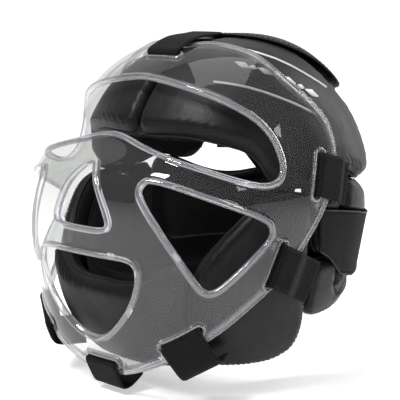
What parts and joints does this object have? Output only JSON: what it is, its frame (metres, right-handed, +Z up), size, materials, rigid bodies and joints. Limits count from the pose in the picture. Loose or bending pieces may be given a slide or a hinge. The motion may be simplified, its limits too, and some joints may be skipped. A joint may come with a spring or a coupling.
{
  "type": "boxing head guard",
  "caption": "Padded training head guard with a clear full-face mask fastened by hook-and-loop straps, and an adjustable rear closure.",
  "frame": {"origin": "centre of the wearer's head, stated as the head_seat mount", "axes": "-Y is the way the face looks, +X is the wearer's left, +Z is up"},
  "size_m": [0.2442, 0.2657, 0.2616],
  "materials": {
    "leather": "soft-sheen black synthetic leather with a fine grain",
    "foam": "dark closed-cell foam core",
    "lining": "matte black brushed lining",
    "webbing": "matte black woven webbing and hook-and-loop pile",
    "clear": "clear moulded polycarbonate with bright bevelled edges"
  },
  "bodies": {
    "headguard": {"forehead_cover_left": "leather", "forehead_cover_right": "leather", "forehead_foam_left": "foam", "forehead_foam_right": "foam", "crown_cover": "leather", "crown_foam": "foam", "crown_flap": "leather", "back_cover": "leather", "back_foam": "foam", "ear_pad_left": "leather", "ear_pad_right": "leather", "rear_pad_left": "leather", "rear_pad_right": "leather", "nape_pad_left": "leather", "nape_pad_right": "leather", "jaw_cover_left": "leather", "jaw_cover_right": "leather", "jaw_foam_left": "foam", "jaw_foam_right": "foam", "chin_cover": "leather", "chin_foam": "foam", "sweatband": "lining", "crown_lining": "lining", "cheek_lining_left": "lining", "cheek_lining_right": "lining", "rear_strap": "webbing", "rear_strap_right": "webbing", "rear_loop_patch": "webbing", "loop_patches": "webbing"},
    "mask": {"face_mask": "clear", "forehead_loop": "webbing", "temple_loop_left": "webbing", "temple_loop_right": "webbing", "cheek_loop_left": "webbing", "cheek_loop_right": "webbing", "jaw_loop_left": "webbing", "jaw_loop_right": "webbing", "chin_loop": "webbing"},
    "forehead_tab_end": {"forehead_tab": "webbing"},
    "temple_tab_left_end": {"temple_tab_left": "webbing"},
    "temple_tab_right_end": {"temple_tab_right": "webbing"},
    "cheek_tab_left_end": {"cheek_tab_left": "webbing"},
    "cheek_tab_right_end": {"cheek_tab_right": "webbing"},
    "jaw_tab_left_end": {"jaw_tab_left": "webbing"},
    "jaw_tab_right_end": {"jaw_tab_right": "webbing"},
    "chin_tab_end": {"chin_tab": "webbing"},
    "rear_tab_end": {"rear_tab": "webbing"}
  },
  "joints": [
    {"name": "mask_lift_off", "type": "slide", "parent": "headguard", "child": "mask", "axis": [0, -1, 0], "range_m": [0, 0.17]},
    {"name": "forehead_tab_peel", "type": "hinge", "parent": "mask", "child": "forehead_tab_end", "pos_m": [0, -0.06355, 0.13798], "axis": [1, 0, 0], "range_deg": [0, 110]},
    {"name": "temple_tab_left_peel", "type": "hinge", "parent": "mask", "child": "temple_tab_left_end", "pos_m": [0.12046, -0.0166, 0.0383], "axis": [0.105, -0.2947, -0.9498], "range_deg": [0, 110]},
    {"name": "temple_tab_right_peel", "type": "hinge", "parent": "mask", "child": "temple_tab_right_end", "pos_m": [-0.12046, -0.0166, 0.0383], "axis": [0.105, 0.2947, 0.9498], "range_deg": [0, 110]},
    {"name": "cheek_tab_left_peel", "type": "hinge", "parent": "mask", "child": "cheek_tab_left_end", "pos_m": [0.11824, -0.06437, -0.02388], "axis": [-0.0995, -0.4104, -0.9065], "range_deg": [0, 110]},
    {"name": "cheek_tab_right_peel", "type": "hinge", "parent": "mask", "child": "cheek_tab_right_end", "pos_m": [-0.11824, -0.06437, -0.02388], "axis": [-0.0995, 0.4104, 0.9065], "range_deg": [0, 110]},
    {"name": "jaw_tab_left_peel", "type": "hinge", "parent": "mask", "child": "jaw_tab_left_end", "pos_m": [0.07927, -0.12921, -0.08061], "axis": [-0.7456, -0.4448, -0.4962], "range_deg": [0, 110]},
    {"name": "jaw_tab_right_peel", "type": "hinge", "parent": "mask", "child": "jaw_tab_right_end", "pos_m": [-0.07927, -0.12921, -0.08061], "axis": [-0.7456, 0.4448, 0.4962], "range_deg": [0, 110]},
    {"name": "chin_tab_peel", "type": "hinge", "parent": "mask", "child": "chin_tab_end", "pos_m": [0, -0.13825, -0.10989], "axis": [-1, 0, 0], "range_deg": [0, 110]},
    {"name": "rear_tab_peel", "type": "hinge", "parent": "headguard", "child": "rear_tab_end", "pos_m": [-0.03948, 0.09392, -0.019], "axis": [0.0607, -0.1445, -0.9876], "range_deg": [0, 100]}
  ]
}
